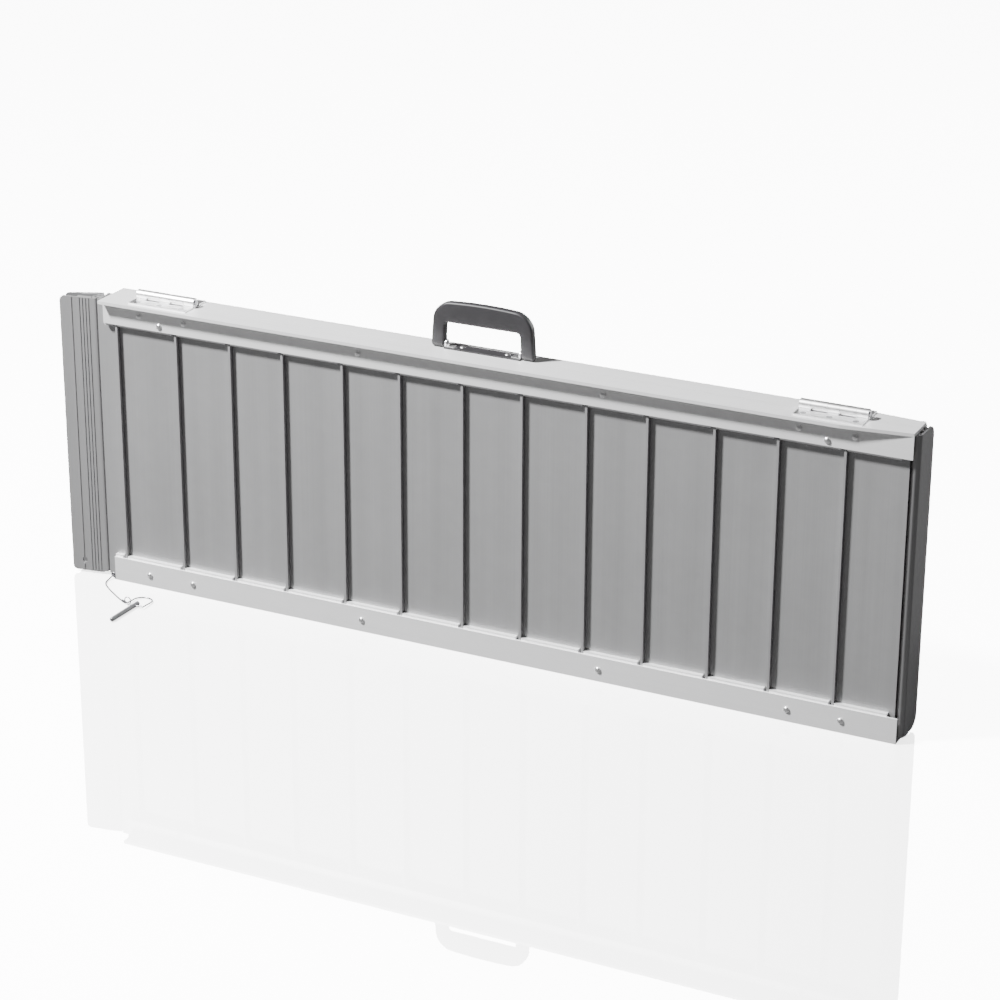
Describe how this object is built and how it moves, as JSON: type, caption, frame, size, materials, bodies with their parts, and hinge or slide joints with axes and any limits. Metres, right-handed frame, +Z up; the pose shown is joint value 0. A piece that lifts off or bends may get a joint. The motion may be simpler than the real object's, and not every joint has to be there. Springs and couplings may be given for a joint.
{
  "type": "folding dog ramp",
  "caption": "Folding aluminium pet ramp, closed deck to deck: hinged halves of ribbed planks on side rails, swinging end lips, a carrying handle and a hitch pin on a lanyard.",
  "frame": {"origin": "on the floor under the middle of the closed ramp's bounding box, without the cord pieces", "axes": "+X along the ramp from its upper end to its lower end, +Y from the front half to the back half, +Z up towards the hinged edge and the handle"},
  "size_m": [1.1412, 0.187, 0.4454],
  "materials": {
    "deck_aluminium": "mill-finish extruded plank, fine draw lines along its length",
    "rail_aluminium": "satin extruded rail",
    "lip_aluminium": "satin, fluted root",
    "rivet_aluminium": "bright pressed head",
    "bright_steel": "bright zinc plate",
    "zinc_steel": "zinc-plated steel",
    "steel_cable": "twisted strand",
    "black_plastic": "fine moulded texture"
  },
  "bodies": {
    "front_half": {"front_plank_01": "deck_aluminium", "front_plank_02": "deck_aluminium", "front_plank_03": "deck_aluminium", "front_plank_04": "deck_aluminium", "front_plank_05": "deck_aluminium", "front_plank_06": "deck_aluminium", "front_plank_07": "deck_aluminium", "front_plank_08": "deck_aluminium", "front_plank_09": "deck_aluminium", "front_plank_10": "deck_aluminium", "front_plank_11": "deck_aluminium", "front_plank_12": "deck_aluminium", "front_plank_13": "deck_aluminium", "front_plank_14": "deck_aluminium", "front_top_rail": "rail_aluminium", "front_bottom_rail": "rail_aluminium", "front_spacers": "rail_aluminium", "front_rivets": "rivet_aluminium", "front_upper_lip_rod": "zinc_steel", "front_lower_lip_rod": "zinc_steel", "front_hinge_leaves": "bright_steel", "hinge_pins": "zinc_steel", "front_hinge_screws": "zinc_steel", "lanyard_eye": "zinc_steel", "lanyard_cable": "steel_cable", "lanyard_fittings": "zinc_steel", "hitch_pin": "zinc_steel", "hitch_pin_ring": "zinc_steel"},
    "back_half": {"back_plank_01": "deck_aluminium", "back_plank_02": "deck_aluminium", "back_plank_03": "deck_aluminium", "back_plank_04": "deck_aluminium", "back_plank_05": "deck_aluminium", "back_plank_06": "deck_aluminium", "back_plank_07": "deck_aluminium", "back_plank_08": "deck_aluminium", "back_plank_09": "deck_aluminium", "back_plank_10": "deck_aluminium", "back_plank_11": "deck_aluminium", "back_plank_12": "deck_aluminium", "back_plank_13": "deck_aluminium", "back_plank_14": "deck_aluminium", "back_top_rail": "rail_aluminium", "back_bottom_rail": "rail_aluminium", "back_spacers": "rail_aluminium", "back_rivets": "rivet_aluminium", "back_upper_lip_rod": "zinc_steel", "back_lower_lip_rod": "zinc_steel", "back_hinge_leaves": "bright_steel", "back_hinge_screws": "zinc_steel", "handle_base": "black_plastic", "handle_clips": "bright_steel", "handle_pivot_pins": "zinc_steel", "handle_rivets": "rivet_aluminium"},
    "handle": {"handle_grip": "black_plastic"},
    "front_upper_lip": {"front_upper_lip": "lip_aluminium"},
    "back_upper_lip": {"back_upper_lip": "lip_aluminium"},
    "front_lower_lip": {"front_lower_lip": "lip_aluminium"},
    "back_lower_lip": {"back_lower_lip": "lip_aluminium"}
  },
  "joints": [
    {"name": "leaf_fold", "type": "hinge", "parent": "front_half", "child": "back_half", "pos_m": [0.03035, -0.008, 0.3914], "axis": [1, 0, 0], "range_deg": [0, 180]},
    {"name": "handle_swing", "type": "hinge", "parent": "back_half", "child": "handle", "pos_m": [0.01735, -0.001, 0.3914], "axis": [1, 0, 0], "range_deg": [-90, 0]},
    {"name": "front_upper_lip_swing", "type": "hinge", "parent": "front_half", "child": "front_upper_lip", "pos_m": [-0.52465, -0.014, 0.1925], "axis": [0, 0, 1], "range_deg": [-10, 60]},
    {"name": "back_upper_lip_swing", "type": "hinge", "parent": "back_half", "child": "back_upper_lip", "pos_m": [-0.52465, -0.002, 0.1925], "axis": [0, 0, -1], "range_deg": [0, 84]},
    {"name": "front_lower_lip_swing", "type": "hinge", "parent": "front_half", "child": "front_lower_lip", "pos_m": [0.56335, -0.014, 0.1925], "axis": [0, 0, -1], "range_deg": [0, 90]},
    {"name": "back_lower_lip_swing", "type": "hinge", "parent": "back_half", "child": "back_lower_lip", "pos_m": [0.56335, -0.002, 0.1925], "axis": [0, 0, -1], "range_deg": [0, 90]}
  ],
  "couplings": [
    {"joint": "handle_swing", "follows": "leaf_fold", "ratio": -0.5},
    {"joint": "back_lower_lip_swing", "follows": "front_lower_lip_swing", "ratio": 1}
  ]
}
